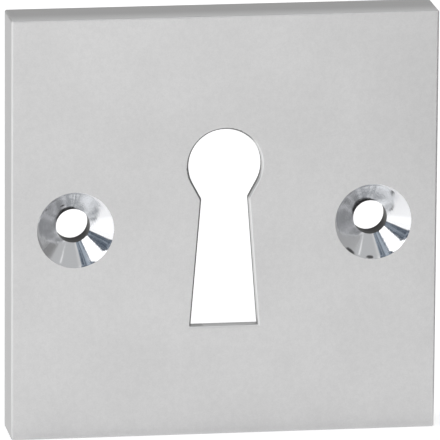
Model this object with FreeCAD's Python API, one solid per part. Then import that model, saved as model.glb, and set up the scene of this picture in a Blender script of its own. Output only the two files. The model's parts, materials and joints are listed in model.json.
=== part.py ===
import FreeCAD, Part
import math
import os

# Keyhole escutcheon: a square plate cast in one piece, hollow behind, with a
# keyhole through its thin face and two countersunk screw holes in bosses.
# X is to the right, Y runs through the plate towards the back, Z is up.
# The origin is the middle of the back plane, where the rim meets the door.
# Sizes are in millimetres.

# Plate
plate_width = 50.0
plate_height = 50.0
plate_depth = 6.5
outer_edge_radius = 0.25

# Hollow behind the face
face_thickness = 1.2
rim_wall = 2.0
hollow_corner_radius = 1.5
hollow_floor_radius = 0.5

# Screw holes, level with the middle of the plate
screw_spacing = 35.0
screw_hole_radius = 2.0
countersink_radius = 4.5
countersink_angle = 96.0

# Bosses round the screw holes, which run into the rim and end short of the back
boss_wall = 2.75
boss_shortfall = 1.8
boss_root_radius = 0.8

# Keyhole, with its heights measured from the middle of the plate
keyhole_round_radius = 4.3
keyhole_round_height = 7.2
keyhole_neck_width = 5.5
keyhole_neck_height = 3.25
keyhole_foot_width = 7.9
keyhole_foot_height = -11.9
keyhole_neck_corner_radius = 0.5
keyhole_edge_radius = 0.3

# Sizes that follow from the ones above
cut_overrun = 1.0
front_y = -plate_depth
hollow_floor_y = face_thickness - plate_depth
boss_radius = screw_hole_radius + boss_wall
countersink_depth = (countersink_radius - screw_hole_radius) / math.tan(math.radians(countersink_angle / 2.0))
screw_x = screw_spacing / 2.0

TOWARDS_BACK = FreeCAD.Vector(0, 1, 0)
NODE_NAME = "escutcheon_plate"


def on_plane(edge, y):
    """Says whether an edge lies in the plane across the plate at depth y."""
    box = edge.BoundBox
    return abs(box.YMin - y) < 1e-4 and abs(box.YMax - y) < 1e-4


def runs_through(edge):
    """Says whether an edge is a straight line along the plate's depth."""
    box = edge.BoundBox
    return box.XLength < 1e-4 and box.ZLength < 1e-4


def centred_block(width, height, y_front, y_back):
    """A block centred on the plate, from one depth to another."""
    corner = FreeCAD.Vector(-width / 2.0, y_front, -height / 2.0)
    return Part.makeBox(width, y_back - y_front, height, corner)


def plate_blank():
    """The square plate with all its outer edges slightly rounded."""
    block = centred_block(plate_width, plate_height, front_y, 0.0)
    return block.makeFillet(outer_edge_radius, block.Edges)


def boss_pad(side):
    """The boss round one screw hole, run out sideways into the rim; side is -1 or 1."""
    y_front = hollow_floor_y - cut_overrun
    length = -boss_shortfall - y_front
    centre = FreeCAD.Vector(side * screw_x, y_front, 0.0)
    post = Part.makeCylinder(boss_radius, length, centre, TOWARDS_BACK)
    bridge_length = plate_width / 2.0 - screw_x
    bridge_x = screw_x if side > 0 else -plate_width / 2.0
    corner = FreeCAD.Vector(bridge_x, y_front, -boss_radius)
    bridge = Part.makeBox(bridge_length, length, 2.0 * boss_radius, corner)
    return post.fuse(bridge).removeSplitter()


def back_hollow():
    """The space behind the face: inside the rim, round the bosses and over them."""
    inner_width = plate_width - 2.0 * rim_wall
    inner_height = plate_height - 2.0 * rim_wall
    deep = centred_block(inner_width, inner_height, hollow_floor_y, cut_overrun)
    outer_corners = [edge for edge in deep.Edges if runs_through(edge)]
    deep = deep.makeFillet(hollow_corner_radius, outer_corners)
    for side in (-1, 1):
        deep = deep.cut(boss_pad(side))
    boss_roots = [edge for edge in deep.Edges if is_boss_root(edge)]
    deep = deep.makeFillet(boss_root_radius, boss_roots)
    floor_edges = [edge for edge in deep.Edges if on_plane(edge, hollow_floor_y)]
    return deep.makeFillet(hollow_floor_radius, floor_edges)


def is_boss_root(edge):
    """Says whether an edge is the corner where a boss runs into the rim."""
    box = edge.BoundBox
    at_rim = abs(abs(box.XMin) - (plate_width / 2.0 - rim_wall)) < 1e-4
    at_boss = abs(abs(box.ZMin) - boss_radius) < 1e-4
    return runs_through(edge) and at_rim and at_boss


def screw_hole(side):
    """A countersunk through hole for a flat-headed screw; side is -1 or 1."""
    mouth = FreeCAD.Vector(side * screw_x, front_y, 0.0)
    cone = Part.makeCone(countersink_radius, screw_hole_radius, countersink_depth, mouth, TOWARDS_BACK)
    shank = Part.makeCylinder(screw_hole_radius, plate_depth + cut_overrun, mouth, TOWARDS_BACK)
    return cone.fuse(shank)


def keyhole():
    """The keyhole: an arc, two straight runs that leave it at a tangent, and a slot that widens downwards."""
    centre = FreeCAD.Vector(0, 0, keyhole_round_height)
    neck_x = keyhole_neck_width / 2.0
    neck_drop = keyhole_round_height - keyhole_neck_height
    neck_distance = math.hypot(neck_x, neck_drop)
    # The tangent point lies this far round from the line between the arc's centre and the neck
    turn = math.acos(keyhole_round_radius / neck_distance)
    tangent_angle = math.atan2(-neck_drop, neck_x) + turn
    tangent_x = keyhole_round_radius * math.cos(tangent_angle)
    tangent_z = keyhole_round_height + keyhole_round_radius * math.sin(tangent_angle)

    foot_x = keyhole_foot_width / 2.0
    top = centre + FreeCAD.Vector(0, 0, keyhole_round_radius)
    right = [(tangent_x, tangent_z), (neck_x, keyhole_neck_height), (foot_x, keyhole_foot_height)]
    left = [(-x, z) for x, z in reversed(right)]
    points = [FreeCAD.Vector(x, 0, z) for x, z in right + left]
    edges = [Part.LineSegment(a, b).toShape() for a, b in zip(points, points[1:])]
    edges.append(Part.Arc(points[-1], top, points[0]).toShape())
    outline = Part.Wire(edges)
    start = FreeCAD.Vector(0, front_y - cut_overrun, 0)
    profile = Part.Face(outline.translated(start))
    prism = profile.extrude(TOWARDS_BACK * (plate_depth + 2.0 * cut_overrun))
    necks = [edge for edge in prism.Edges if is_neck_corner(edge)]
    return prism.makeFillet(keyhole_neck_corner_radius, necks)


def is_neck_corner(edge):
    """Says whether an edge is one of the keyhole's two neck corners."""
    return runs_through(edge) and abs(edge.BoundBox.ZMin - keyhole_neck_height) < 1e-4


def escutcheon_plate():
    """The whole plate, with the keyhole's front edge rounded before the screw holes are cut."""
    plate = plate_blank().cut(back_hollow())
    outer_reach = plate_width / 2.0 - 2.0 * outer_edge_radius
    plate = plate.cut(keyhole())
    mouth = [edge for edge in plate.Edges if on_plane(edge, front_y) and edge.BoundBox.XMax < outer_reach
             and edge.BoundBox.XMin > -outer_reach]
    plate = plate.makeFillet(keyhole_edge_radius, mouth)
    for side in (-1, 1):
        plate = plate.cut(screw_hole(side))
    return plate


os.makedirs("parts", exist_ok=True)
escutcheon_plate().exportStep("parts/" + NODE_NAME + ".step")
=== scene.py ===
import json
import math
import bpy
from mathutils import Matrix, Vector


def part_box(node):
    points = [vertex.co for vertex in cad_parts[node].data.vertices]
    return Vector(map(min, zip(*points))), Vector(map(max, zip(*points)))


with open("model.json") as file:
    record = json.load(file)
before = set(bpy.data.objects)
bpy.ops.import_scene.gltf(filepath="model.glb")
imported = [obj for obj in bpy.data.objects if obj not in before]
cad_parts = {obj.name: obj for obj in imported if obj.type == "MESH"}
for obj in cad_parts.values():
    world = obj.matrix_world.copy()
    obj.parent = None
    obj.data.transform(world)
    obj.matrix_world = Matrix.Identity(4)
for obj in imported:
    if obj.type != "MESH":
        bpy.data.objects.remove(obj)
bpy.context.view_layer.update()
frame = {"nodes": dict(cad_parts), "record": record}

from types import SimpleNamespace

import bmesh
import bpy
from mathutils import Matrix, Vector

scene = bpy.context.scene
plate = frame["nodes"]["escutcheon_plate"]
plate_low, plate_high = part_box("escutcheon_plate")
mounts = {mount["name"]: mount for mount in frame["record"]["mounts"]}

# Millimetres in a metre, and a millimetre in metres
mm_in_metre = 1000
millimetre = 0.001

# Sizes of the plate, in millimetres, for the places of its finishes
half_width = plate_high.x * mm_in_metre
face_level = plate_low.y * mm_in_metre
screw_hole_reach = mounts["screw_holes"]["dims"]["spacing_x_mm"] / 2
screw_hole_radius = mounts["screw_holes"]["dims"]["hole_r_mm"]
countersink_radius = 4.5
countersink_angle = 96.0
face_thickness = 1.2
rim_wall = 2.0
boss_shortfall = 1.8
keyhole_foot = -11.9
keyhole_inset = 10.0  # The keyhole stays at least this far inside the plate's four sides

cone_slope = math.radians(countersink_angle / 2)
countersink_depth = (countersink_radius - screw_hole_radius) / math.tan(cone_slope)
countersink_foot = face_level + countersink_depth
hollow_floor = face_level + face_thickness

# How far a finish reaches past its exact border, in millimetres, so that no sliver is missed.
# The cone's stops a little short, so that the face round it stays satin.
cone_margin = -0.003
bore_margin = 0.05
hollow_margin = 0.02

# Where the edge wear, the sides' painted shade and the top's painted highlight start and are full, in
# millimetres
wear_from_edge = (0.35, 0.10)
side_from_side = (0.06, 0.01)
top_highlight_from_front = (3.2, 0.1)

# The same for the keyhole's painted light and shade, and the share of the painted shade that is left at
# its foot
mouth_from_front = (0.0, 0.02)
dull_edge_from_front = (0.006, 0.03)
dull_back_from_front = (0.30, 0.46)
left_edge_x = (-2.2, -2.7)
left_edge_z = (keyhole_foot - 0.1, keyhole_foot + 0.1)
top_edge_z = (9.5, 10.8)
foot_edge_z = (keyhole_foot + 0.05, keyhole_foot + 0.3)
foot_dullness = 0.15

# Grain of the metal: spots to a millimetre, detail and roughness of the noise
FINE_GRAIN = (7.0, 3.0, 0.6)
MOTTLING = (1.6, 3.0, 0.6)
UNEVENNESS = (0.12, 2.0, 0.5)
CAST_GRAIN = (3.0, 4.0, 0.6)
middle_of_noise = (0.3, 0.7)
fine_grain_height = 0.003
cast_grain_height = 0.03

# Turned rings in the countersinks, a slight hollow in the cone and a roll at its rim, in millimetres
RING_NOISE = (1.0, 2.0, 0.6)
rings_per_mm = 7.0
ring_breaks = 1.6
other_hole_shift = 7.3
ring_height = 0.0028
cone_hollow = 0.010
rim_roll_width = 0.35
rim_roll = 0.12

# Dark spots in the countersinks, for each hole: distance from the bore's axis, hour and half length.
# Their breadth is a share of their length.
left_specks = [(4.2, 10.2, 0.25), (3.0, 11.1, 0.35)]
right_specks = [(4.42, 7.25, 0.75), (4.30, 6.15, 0.50)]
speck_breadth = 0.4
speck_ragged = 0.25
speck_edge = (1.1, 0.3)

# Colours of the finishes and of the painted light and shade, linear, and how strongly some of them show
SATIN_FACE = (0.722, 0.718, 0.716)
GRAIN_SHADE = (0.45, 0.45, 0.45)
CAST_BACK = (0.50, 0.50, 0.495)
TURNED_CONE = (0.90, 0.905, 0.92)
SPECK = (0.16, 0.16, 0.16)
# Painted shade in the bores, darker towards their foot
BORE_SHADE_AT_MOUTH = (0.11, 0.11, 0.11)
BORE_SHADE_AT_FOOT = (0.03, 0.03, 0.03)
# Painted light in the keyhole's mouth, and the keyhole's painted shade
KEYHOLE_PAINTED_LIGHT = (0.78, 0.78, 0.78)
KEYHOLE_PAINTED_SHADE = (0.27, 0.27, 0.27)
# Burnished front edges, and the painted highlight towards the front of the top side
BURNISH_AND_HIGHLIGHT = (0.84, 0.84, 0.84)
GRAZING_TINT = (0.65, 0.65, 0.65)
# Painted shade on the outer sides: their share of the face's colour
side_shade_share = 0.90
uneven_share = 0.02
mottling_share = 0.10
grain_share = 0.09
worn_colour_share = 0.3
worn_gloss_share = 0.6

# Roughness of the finishes. Where two values stand, the grain or the rings go from one to the other.
satin_rough = (0.40, 0.46)
cast_rough = (0.50, 0.62)
turned_rough = (0.05, 0.10)
worn_rough = 0.36
keyhole_rough = 0.32
# Roughness where the keyhole has painted shade
keyhole_dull_rough = 0.45
bore_rough = 0.4
speck_rough = 0.5

# Colours of the light round the plate, linear
WHITE = (1.0, 1.0, 1.0)
SLATE_SHADE = (0.07, 0.088, 0.115)
PALE_SLATE = (0.35, 0.40, 0.46)
SLATE_GLINT = (0.80, 0.83, 0.87)
CAMERA_SHADE = (0.25, 0.255, 0.26)
CAMERA_GLINT = (0.55, 0.55, 0.56)
LOW_SHADE = (0.32, 0.33, 0.34)
LOW_GLINT = (0.95, 0.96, 0.97)
BRIGHT_PANEL = (1.6, 1.6, 1.6)
GREY_TOP = (0.49, 0.495, 0.50)
LAMP_EDGE = (0.9, 0.9, 0.9)

# The tent's cloth: its half side in metres, and where its brightness changes, from which value to which.
# Directions are given by how far they go to the right, to the top or to the back, out of 1.
tent_reach = 5.0
DIM_FAR_RIGHT = (0.55, 0.90, 1.10, 0.25)
DIM_OVERHEAD = (0.80, 0.95, 1.00, 0.50)
DIM_BEHIND = (0.00, 0.80, 1.00, 0.55)
BRIGHT_LOW_DOWN = (-0.25, -0.42, 1.00, 1.50)

# Panels that show in the countersinks: first and last hour, slant in degrees, half length and soft edge
GREY_TOP_PLACE = (5.80, 7.30, 0.0, 0.35, 0.06)
DARK_GAP_PLACE = (3.58, 5.63, 0.0, 0.35, 0.02)
BRIGHT_STRIP_PLACE = (4.35, 5.12, -50.0, 0.60, 0.02)
LAMP_EDGE_PLACE = (6.72, 6.80, 0.0, 0.06, 0.03)

# Other panels: azimuth, elevation, lean, half width, half height and soft edge
PALE_PATCH_PLACE = (-35.0, 59.0, 0.3, 0.06, 0.40, 0.03)
CAMERA_SIDE_PLACE = (1.0, 8.0, 0.0, 0.33, 0.25, 0.05)
LOW_SIDE_PLACE = (-11.0, -9.0, 0.0, 0.20, 0.13, 0.04)

# From where on a direction counts as ahead, towards a panel
smallest_ahead = 0.001
fully_ahead = 0.1

# The room beyond the gap and the glints round the camera: noise, and the part of it that counts
ROOM_NOISE = (14.0, 3.0, 0.6)
room_part = (0.48, 0.66)
GLINT_NOISE = (16.0, 2.0, 0.5)
glint_part = (0.42, 0.64)

# The floor, in metres, with its paper's colour and the glow that makes it white to the eye
floor_reach = 0.6
floor_front = -0.10
FLOOR_PAPER = (0.8, 0.8, 0.8)
floor_glow = 0.57

# The flags at the right: distance from the middle, front, back and top edge, in metres, and their colours
grey_flag = {"x": 0.065, "front": -0.120, "back": 0.120, "top": 0.020}
edge_flag = {"x": 0.033, "front": -0.012, "back": 0.030, "top": 0.025}
GREY_FLAG = (0.42, 0.42, 0.42)
EDGE_FLAG = (0.65, 0.65, 0.65)

# The sheets at the plate's foot: half width, lift off the floor and distances in front of the face, all in
# metres, then their colours and glows
sheet_reach = 0.05
sheet_lift = 0.00002
pale_sheet_front = 0.030
sheets_meet = 0.003
grey_sheet_back = -0.001
PALE_SHEET = (0.8, 0.8, 0.8)
GREY_SHEET = (0.74, 0.74, 0.75)
pale_sheet_glow = 0.44
grey_sheet_glow = 0.36

# The camera, from a fit to the corners of the plate in the photograph: angles in degrees, distances in
# metres, and the aim's shift to the right and up in millimetres
camera_azimuth = -8.826
camera_elevation = 13.694
camera_roll = 0.403
camera_distance = 0.9
aim_offset = (-0.571, 0.692)
focal_length_in_pixels = 7746.9
picture_width_in_pixels = 440
sensor_width_in_mm = 36.0
farthest_view = 100.0


def direction_to(azimuth, elevation):
    """The direction at this azimuth and elevation, in degrees. Azimuth 0 is straight out from the face,
    and a positive one is to the right."""
    azimuth, elevation = math.radians(azimuth), math.radians(elevation)
    return Vector((
        math.sin(azimuth) * math.cos(elevation),
        -math.cos(azimuth) * math.cos(elevation),
        math.sin(elevation),
    ))


def clock_angle(hour):
    """The angle of an hour on a clock's face, in radians from its right side and against the clock."""
    return math.radians(90 - 30 * hour)


def place_camera():
    """The camera at the photograph's viewing angle, looking at the middle of the plate's face."""
    camera_data = bpy.data.cameras.new("camera")
    camera_data.sensor_width = sensor_width_in_mm
    camera_data.lens = focal_length_in_pixels / picture_width_in_pixels * sensor_width_in_mm
    camera_data.clip_end = farthest_view
    camera = bpy.data.objects.new("camera", camera_data)
    scene.collection.objects.link(camera)
    backward = direction_to(camera_azimuth, camera_elevation)
    level_right = Vector((-backward.y, backward.x, 0.0)).normalized()
    right = Matrix.Rotation(math.radians(camera_roll), 3, backward) @ level_right
    up = backward.cross(right)
    face_middle = Vector((0.0, plate_low.y, 0.0))
    aim = face_middle + (right * aim_offset[0] + up * aim_offset[1]) / mm_in_metre
    camera.matrix_world = Matrix.Translation(aim + backward * camera_distance) @ Matrix((
        (right.x, up.x, backward.x),
        (right.y, up.y, backward.y),
        (right.z, up.z, backward.z),
    )).to_4x4()
    scene.camera = camera


class NodeBench:
    """Adds the nodes of one material or world, with short calls that return the socket to use next."""

    def __init__(self, owner):
        owner.use_nodes = True
        self.tree = owner.node_tree
        self.tree.nodes.clear()

    def add(self, kind, inputs=None, **settings):
        """Adds one node with its settings, and a number, a colour or a socket for each input named."""
        node = self.tree.nodes.new(kind)
        for name, value in settings.items():
            setattr(node, name, value)
        for name, value in (inputs or {}).items():
            self.feed(node.inputs[name], value)
        return node

    def feed(self, socket, value):
        """Links another socket to this one, or writes a number or colour into it."""
        if isinstance(value, bpy.types.NodeSocket):
            self.tree.links.new(value, socket)
        else:
            socket.default_value = value

    def show(self, output_kind, shader):
        """Ends the tree with this shader as what the material or world shows."""
        self.feed(self.add(output_kind).inputs["Surface"], shader.outputs[0])

    def math(self, operation, first, second=0.0):
        return self.add("ShaderNodeMath", {0: first, 1: second}, operation=operation).outputs[0]

    def times(self, *factors):
        result = factors[0]
        for factor in factors[1:]:
            result = self.math("MULTIPLY", result, factor)
        return result

    def vector(self, operation, first, second):
        """A calculation with two vectors that gives a vector."""
        node = self.add("ShaderNodeVectorMath", {0: first, 1: second}, operation=operation)
        return node.outputs["Vector"]

    def along(self, vector, axis):
        """How far a vector goes along an axis."""
        node = self.add("ShaderNodeVectorMath", {0: vector, 1: axis}, operation="DOT_PRODUCT")
        return node.outputs["Value"]

    def length(self, vector):
        return self.add("ShaderNodeVectorMath", {0: vector}, operation="LENGTH").outputs["Value"]

    def unit(self, vector):
        return self.add("ShaderNodeVectorMath", {0: vector}, operation="NORMALIZE").outputs["Vector"]

    def split(self, vector):
        return self.add("ShaderNodeSeparateXYZ", {0: vector}).outputs

    def join(self, x, y, z):
        return self.add("ShaderNodeCombineXYZ", {0: x, 1: y, 2: z}).outputs[0]

    def ramp(self, value, start, end, low=0.0, high=1.0):
        """A smooth change from low to high while the value goes from start to end."""
        inputs = {"Value": value, "From Min": start, "From Max": end, "To Min": low, "To Max": high}
        node = self.add("ShaderNodeMapRange", inputs, interpolation_type="SMOOTHSTEP")
        return node.outputs[0]

    def mix(self, share, first, second):
        """A colour between two."""
        node = self.add("ShaderNodeMix", {"Factor": share, 6: first, 7: second}, data_type="RGBA")
        return node.outputs[2]

    def mix_value(self, share, first, second):
        """A number between two."""
        node = self.add("ShaderNodeMix", {"Factor": share, 2: first, 3: second}, data_type="FLOAT")
        return node.outputs[0]

    def noise(self, vector, scale, detail, roughness):
        inputs = {"Vector": vector, "Scale": scale, "Detail": detail, "Roughness": roughness}
        return self.add("ShaderNodeTexNoise", inputs).outputs["Fac"]

    def spread(self, noise, low=0.0, high=1.0):
        """The middle part of a noise, spread out from low to high."""
        return self.ramp(noise, *middle_of_noise, low, high)


def rgba(colour):
    return (colour[0], colour[1], colour[2], 1.0)


def shade_of(colour, factor):
    return rgba([channel * factor for channel in colour])


def soft_panel(bench, direction, towards, across, width, height, edge):
    """How much of a far, soft-edged rectangle of light lies in this direction, from 0 to 1.
    Width and height are half sizes as seen from the plate, as tangents, and the edge is one too."""
    centre = Vector(towards).normalized()
    side = Vector(across)
    side = (side - centre * side.dot(centre)).normalized()
    rise = centre.cross(side)
    # Only directions on the panel's own side of the plate count, and nothing is divided by 0
    ahead = bench.math("MAXIMUM", bench.along(direction, centre), smallest_ahead)
    mask = bench.ramp(ahead, 0.0, fully_ahead)
    for axis, half in ((side, width), (rise, height)):
        away = bench.math("ABSOLUTE", bench.math("DIVIDE", bench.along(direction, axis), ahead))
        mask = bench.times(mask, bench.ramp(away, half + edge, half - edge))
    return mask


def panel_at(bench, direction, azimuth, elevation, lean, width, height, edge):
    """A soft panel at this azimuth and elevation. The lean is how far its width rises for each unit to the
    right."""
    towards = direction_to(azimuth, elevation)
    return soft_panel(bench, direction, towards, (1, 0, lean), width, height, edge)


def seen_in_countersink(hour):
    """The direction that a countersink mirrors to the camera, at this hour of a clock round its bore."""
    turn = clock_angle(hour)
    normal = Vector((
        -math.cos(turn) * math.cos(cone_slope),
        -math.sin(cone_slope),
        -math.sin(turn) * math.cos(cone_slope),
    ))
    to_camera = direction_to(camera_azimuth, camera_elevation)
    return 2 * normal.dot(to_camera) * normal - to_camera


def countersink_panel(bench, direction, first_hour, last_hour, slant, length, edge):
    """A soft panel that shows in the countersinks from one hour to another. Its sides slant by some
    degrees, and its length is half of the whole."""
    first, last = seen_in_countersink(first_hour), seen_in_countersink(last_hour)
    centre = (first + last).normalized()
    across = Matrix.Rotation(math.radians(slant), 3, centre) @ (last - first)
    width = math.tan(first.angle(last) / 2) * math.cos(math.radians(slant))
    return soft_panel(bench, direction, centre, across, width, length, edge)


def paint_world():
    """The background: plain white, to the eye and to every other ray that comes past the tent."""
    world = bpy.data.worlds.new("white_background")
    scene.world = world
    bench = NodeBench(world)
    background = bench.add("ShaderNodeBackground", {"Color": rgba(WHITE), "Strength": 1.0})
    bench.show("ShaderNodeOutputWorld", background)


def put_on_stage(name, shape, material):
    """Makes an object of a bmesh, which isn't part of the escutcheon, and puts it in the scene."""
    mesh = bpy.data.meshes.new(name)
    shape.to_mesh(mesh)
    shape.free()
    mesh.materials.append(material)
    prop = bpy.data.objects.new(name, mesh)
    scene.collection.objects.link(prop)
    return prop


def flat_sheet(corners):
    """A flat sheet with these four corners."""
    shape = bmesh.new()
    shape.faces.new([shape.verts.new(corner) for corner in corners])
    return shape


def lying(reach, front, back, level):
    """The corners of a sheet that lies level, as far to the left as to the right."""
    return [(-reach, front, level), (reach, front, level), (reach, back, level), (-reach, back, level)]


def standing(x, front, back, foot, top):
    """The corners of a sheet that stands upright and faces the plate's side."""
    return [(x, front, foot), (x, back, foot), (x, back, top), (x, front, top)]


def tent_cloth():
    """The light of the tent by its direction from the plate: white in front and to the left, dim overhead,
    behind and far to the right, bright low down, with the panels that the countersinks mirror."""
    material = bpy.data.materials.new("light_tent")
    bench = NodeBench(material)
    place = bench.add("ShaderNodeTexCoord").outputs["Object"]
    direction = bench.unit(place)
    to_right, to_back, to_top = bench.split(direction)
    level = bench.times(
        bench.ramp(to_right, *DIM_FAR_RIGHT),
        bench.ramp(to_top, *DIM_OVERHEAD),
        bench.ramp(to_back, *DIM_BEHIND),
        bench.ramp(to_top, *BRIGHT_LOW_DOWN),
    )
    colour = bench.join(level, level, level)

    # The tent's grey top
    grey_top = countersink_panel(bench, direction, *GREY_TOP_PLACE)
    colour = bench.mix(grey_top, colour, rgba(GREY_TOP))

    # A gap in the tent to the dark room, with a paler patch in it and a bright strip slanting across it
    clutter = bench.ramp(bench.noise(direction, *ROOM_NOISE), *room_part)
    dark_room = bench.mix(clutter, rgba(SLATE_SHADE), rgba(PALE_SLATE))
    pale_room = bench.mix(clutter, rgba(PALE_SLATE), rgba(SLATE_GLINT))
    room = bench.mix(panel_at(bench, direction, *PALE_PATCH_PLACE), dark_room, pale_room)
    gap = countersink_panel(bench, direction, *DARK_GAP_PLACE)
    colour = bench.mix(gap, colour, room)
    strip = countersink_panel(bench, direction, *BRIGHT_STRIP_PLACE)
    colour = bench.mix(strip, colour, rgba(BRIGHT_PANEL))

    # The shade round the camera and a paler one below it, with glints in both
    glints = bench.ramp(bench.noise(direction, *GLINT_NOISE), *glint_part)
    camera_shade = bench.mix(glints, rgba(CAMERA_SHADE), rgba(CAMERA_GLINT))
    colour = bench.mix(panel_at(bench, direction, *CAMERA_SIDE_PLACE), colour, camera_shade)
    low_shade = bench.mix(glints, rgba(LOW_SHADE), rgba(LOW_GLINT))
    colour = bench.mix(panel_at(bench, direction, *LOW_SIDE_PLACE), colour, low_shade)

    # The thin bright edge of a lamp
    colour = bench.mix(countersink_panel(bench, direction, *LAMP_EDGE_PLACE), colour, rgba(LAMP_EDGE))
    cloth = bench.add("ShaderNodeEmission", {"Color": colour, "Strength": 1.0})
    bench.show("ShaderNodeOutputMaterial", cloth)
    return material


def hang_tent():
    """The light tent, a wide box round the plate, the floor and the camera. It lights the plate and the
    floor and shows in the metal, but not to the eye."""
    shape = bmesh.new()
    bmesh.ops.create_cube(shape, size=2 * tent_reach)
    bmesh.ops.reverse_faces(shape, faces=shape.faces)
    tent = put_on_stage("light_tent", shape, tent_cloth())
    tent.visible_camera = False


def glowing_paper(name, colour, glow, only_when_seen=False):
    """Plain paper with a glow of its own, which may be kept to what the eye, metal and glass see of it."""
    material = bpy.data.materials.new(name)
    bench = NodeBench(material)
    if only_when_seen:
        rays = bench.add("ShaderNodeLightPath").outputs
        seen = bench.math("MAXIMUM", rays["Is Camera Ray"], rays["Is Glossy Ray"])
        seen = bench.math("MAXIMUM", seen, rays["Is Transmission Ray"])
        glow = bench.times(seen, glow)
    paper = bench.add("ShaderNodeBsdfDiffuse", {"Color": rgba(colour)})
    light = bench.add("ShaderNodeEmission", {"Color": rgba(WHITE), "Strength": glow})
    both = bench.add("ShaderNodeAddShader", {0: paper.outputs[0], 1: light.outputs[0]})
    bench.show("ShaderNodeOutputMaterial", both)
    return material


def lay_floor():
    """A wide pale floor under the plate, white to the eye and in the metal, that keeps the shadow."""
    corners = lying(floor_reach, floor_front, floor_reach, plate_low.z)
    paper = glowing_paper("pale_floor", FLOOR_PAPER, floor_glow, only_when_seen=True)
    put_on_stage("floor", flat_sheet(corners), paper)


def place_card(name, corners, colour, glow):
    """A card beside the plate that shows only in its metal: out of the picture, and with no shadow."""
    card = put_on_stage(name, flat_sheet(corners), glowing_paper(name, colour, glow))
    card.visible_camera = False
    card.visible_diffuse = False
    card.visible_shadow = False


def place_cards():
    """A grey flag and a paler one nearer to the plate, both at its right, and two sheets at its foot."""
    for name, flag, colour in (("grey_flag", grey_flag, GREY_FLAG), ("edge_flag", edge_flag, EDGE_FLAG)):
        corners = standing(flag["x"], flag["front"], flag["back"], plate_low.z, flag["top"])
        place_card(name, corners, colour, glow=0.0)
    level = plate_low.z + sheet_lift
    front = plate_low.y - pale_sheet_front
    meeting = plate_low.y - sheets_meet
    back = plate_low.y - grey_sheet_back
    place_card("pale_sheet", lying(sheet_reach, front, meeting, level), PALE_SHEET, pale_sheet_glow)
    place_card("grey_sheet", lying(sheet_reach, meeting, back, level), GREY_SHEET, grey_sheet_glow)


def places_on_plate(bench):
    """Where a point of the plate lies, in millimetres, and its share in each place, from 0 to 1."""
    at = SimpleNamespace()
    in_metres = bench.add("ShaderNodeTexCoord").outputs["Object"]
    at.in_mm = bench.vector("MULTIPLY", in_metres, (mm_in_metre, mm_in_metre, mm_in_metre))
    at.x, at.y, at.z = bench.split(at.in_mm)
    across = bench.math("MAXIMUM", bench.math("ABSOLUTE", at.x), bench.math("ABSOLUTE", at.z))
    from_side = bench.math("SUBTRACT", half_width, across)
    from_front = bench.math("SUBTRACT", at.y, face_level)

    # The screw holes, each with its cone and its bore, round the nearer one's axis
    off_axis = bench.math("SUBTRACT", bench.math("ABSOLUTE", at.x), screw_hole_reach)
    at.off_axis = bench.join(off_axis, 0.0, at.z)
    at.reach = bench.length(at.off_axis)
    in_hole = bench.math("LESS_THAN", at.reach, countersink_radius + cone_margin)
    in_bore = bench.math("LESS_THAN", at.reach, screw_hole_radius + bore_margin)
    at.cone = bench.times(in_hole, bench.math("LESS_THAN", at.y, countersink_foot))
    at.bore = bench.times(in_bore, bench.math("GREATER_THAN", at.y, countersink_foot))

    # The hollow behind the face, without the bores
    within_rim = bench.math("LESS_THAN", across, half_width - rim_wall + hollow_margin)
    behind_face = bench.math("GREATER_THAN", at.y, hollow_floor - hollow_margin)
    at.hollow = bench.times(within_rim, behind_face, bench.math("SUBTRACT", 1.0, at.bore))

    # The plate's front edges, rubbed a little brighter and smoother, and the outer sides, with painted
    # shade
    at.worn = bench.ramp(bench.math("MAXIMUM", from_side, from_front), *wear_from_edge)
    at.side = bench.ramp(from_side, *side_from_side)
    # A painted highlight on the top side, growing towards its front
    on_top = bench.math("GREATER_THAN", at.z, half_width - side_from_side[0])
    at.polished = bench.times(on_top, bench.ramp(from_front, *top_highlight_from_front))

    # The keyhole's mouth and wall, with painted light, and painted shade at the back, on the left and at
    # the top
    well_inside = bench.math("GREATER_THAN", from_side, keyhole_inset)
    off_holes = bench.math("SUBTRACT", 1.0, in_hole)
    at.keyhole = bench.times(well_inside, off_holes, bench.ramp(from_front, *mouth_from_front))
    left = bench.times(bench.ramp(at.x, *left_edge_x), bench.ramp(at.z, *left_edge_z))
    left_or_top = bench.math("MAXIMUM", left, bench.ramp(at.z, *top_edge_z))
    dull_edge = bench.times(left_or_top, bench.ramp(from_front, *dull_edge_from_front))
    off_foot = bench.ramp(at.z, *foot_edge_z, foot_dullness, 1.0)
    dull_back = bench.times(off_foot, bench.ramp(from_front, *dull_back_from_front))
    at.dull = bench.math("MAXIMUM", dull_edge, dull_back)
    return at


def turned_rings(bench, at):
    """The turned rings, finer along the radius than round it, and not the same in both countersinks."""
    breaks = (ring_breaks, ring_breaks, ring_breaks)
    round_the_hole = bench.vector("MULTIPLY", bench.unit(at.off_axis), breaks)
    which_hole = bench.times(bench.math("SIGN", at.x), other_hole_shift)
    along_radius = bench.join(0.0, bench.times(at.reach, rings_per_mm), which_hole)
    return bench.noise(bench.vector("ADD", round_the_hole, along_radius), *RING_NOISE)


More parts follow.
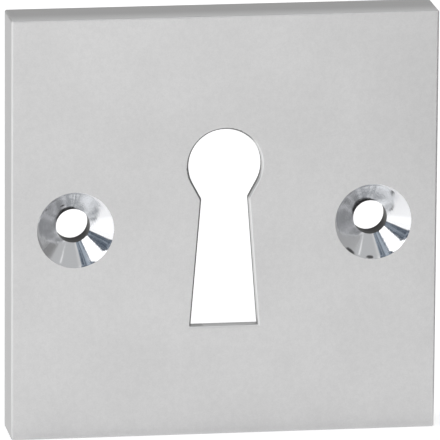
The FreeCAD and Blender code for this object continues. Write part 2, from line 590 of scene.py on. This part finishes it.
def dark_spots_in_cones(bench, at, grain):
    """The dark spots in the countersinks, each drawn out along the rim, with an outline that the grain
    makes ragged."""
    ragged = bench.spread(grain, -speck_ragged, speck_ragged)
    spots = 0.0
    for sign, specks in ((-1, left_specks), (1, right_specks)):
        on_this_side = bench.math("GREATER_THAN", bench.times(at.x, sign), 0.0)
        axis_point = Vector((sign * screw_hole_reach, 0.0, 0.0))
        for distance, hour, half_length in specks:
            turn = clock_angle(hour)
            outwards = Vector((math.cos(turn), 0.0, math.sin(turn)))
            round_the_rim = Vector((-math.sin(turn), 0.0, math.cos(turn)))
            sideways = bench.along(at.in_mm, round_the_rim)
            sideways = bench.math("SUBTRACT", sideways, axis_point.dot(round_the_rim))
            sideways = bench.math("DIVIDE", sideways, half_length)
            inwards = bench.math("SUBTRACT", at.reach, distance)
            inwards = bench.math("DIVIDE", inwards, speck_breadth * half_length)
            away = bench.math("ADD", bench.times(sideways, sideways), bench.times(inwards, inwards))
            spot = bench.ramp(bench.math("ADD", away, ragged), *speck_edge)
            ahead = bench.along(at.in_mm, outwards)
            ahead = bench.math("GREATER_THAN", ahead, axis_point.dot(outwards))
            spots = bench.math("MAXIMUM", spots, bench.times(on_this_side, ahead, spot))
    return spots


def metal_colour(bench, at, grain, specks):
    """The metal's colour: satin with fine grain, small mottling and a soft, wide unevenness, then each
    finish in its place, with painted shade on the sides, in the keyhole and in the bores, and painted
    light on the top side and in the keyhole's mouth."""
    uneven = bench.spread(bench.noise(at.in_mm, *UNEVENNESS))
    mottling = bench.noise(at.in_mm, *MOTTLING)
    duller, brighter = shade_of(SATIN_FACE, 1 - uneven_share), shade_of(SATIN_FACE, 1 + uneven_share)
    colour = bench.mix(uneven, duller, brighter)
    colour = bench.mix(bench.spread(mottling, 0.0, mottling_share), colour, rgba(GRAIN_SHADE))
    colour = bench.mix(bench.spread(grain, 0.0, grain_share), colour, rgba(GRAIN_SHADE))
    # Painted shade on the outer sides, and a painted highlight towards the front of the top side
    side_shade_and_highlight = bench.mix(at.polished, shade_of(SATIN_FACE, side_shade_share), rgba(BURNISH_AND_HIGHLIGHT))
    colour = bench.mix(at.side, colour, side_shade_and_highlight)
    colour = bench.mix(bench.times(at.worn, worn_colour_share), colour, rgba(BURNISH_AND_HIGHLIGHT))
    # Painted light in the keyhole's mouth, and painted shade at its back, on its left and at its top
    colour = bench.mix(at.keyhole, colour, bench.mix(at.dull, rgba(KEYHOLE_PAINTED_LIGHT), rgba(KEYHOLE_PAINTED_SHADE)))
    colour = bench.mix(at.hollow, colour, rgba(CAST_BACK))
    # Painted shade in the bores, darker deeper in
    bore_shade_depth = bench.ramp(at.y, countersink_foot, -boss_shortfall)
    colour = bench.mix(at.bore, colour, bench.mix(bore_shade_depth, rgba(BORE_SHADE_AT_MOUTH), rgba(BORE_SHADE_AT_FOOT)))
    return bench.mix(at.cone, colour, bench.mix(specks, rgba(TURNED_CONE), rgba(SPECK)))


def metal_roughness(bench, at, grain, cast_grain, rings, specks):
    """The metal's roughness, finish by finish."""
    rough = bench.spread(grain, *satin_rough)
    rough = bench.mix_value(bench.times(at.worn, worn_gloss_share), rough, worn_rough)
    # Rougher where the keyhole has painted shade
    rough = bench.mix_value(at.keyhole, rough, bench.mix_value(at.dull, keyhole_rough, keyhole_dull_rough))
    rough = bench.mix_value(at.hollow, rough, bench.spread(cast_grain, *cast_rough))
    rough = bench.mix_value(at.bore, rough, bore_rough)
    turned = bench.mix_value(specks, bench.spread(rings, *turned_rough), speck_rough)
    return bench.mix_value(at.cone, rough, turned)


def metal_relief(bench, at, grain, cast_grain, rings):
    """The metal's fine relief, in millimetres: grain outside and behind, rings and a slight hollow in the
    cones."""
    height = bench.times(grain, fine_grain_height)
    height = bench.mix_value(at.hollow, height, bench.times(cast_grain, cast_grain_height))
    below_rim = bench.math("SUBTRACT", countersink_radius, at.reach)
    hollowing = bench.times(below_rim, below_rim, cone_hollow)
    near_rim = bench.math("MAXIMUM", bench.math("SUBTRACT", rim_roll_width, below_rim), 0.0)
    hollowing = bench.math("SUBTRACT", hollowing, bench.times(near_rim, near_rim, rim_roll))
    turned = bench.math("ADD", hollowing, bench.times(rings, ring_height))
    height = bench.mix_value(at.cone, height, turned)
    return bench.add("ShaderNodeBump", {"Height": height, "Distance": millimetre, "Strength": 1.0})


def satin_aluminium():
    """The plate's one metal: satin outside, as cast behind, turned in the cones, drilled in the bores,
    which get painted shade.
    """
    material = bpy.data.materials.new("satin_aluminium")
    bench = NodeBench(material)
    at = places_on_plate(bench)
    grain = bench.noise(at.in_mm, *FINE_GRAIN)
    cast_grain = bench.noise(at.in_mm, *CAST_GRAIN)
    rings = turned_rings(bench, at)
    specks = dark_spots_in_cones(bench, at, grain)
    metal = bench.add("ShaderNodeBsdfPrincipled", {
        "Metallic": 1.0,
        "Base Color": metal_colour(bench, at, grain, specks),
        "Roughness": metal_roughness(bench, at, grain, cast_grain, rings, specks),
        "Specular Tint": rgba(GRAZING_TINT),
        "Normal": metal_relief(bench, at, grain, cast_grain, rings).outputs[0],
    })
    bench.show("ShaderNodeOutputMaterial", metal)
    return material


place_camera()
paint_world()
hang_tent()
lay_floor()
place_cards()
plate.material_slots[0].material = satin_aluminium()
scene.view_settings.view_transform = "Standard"
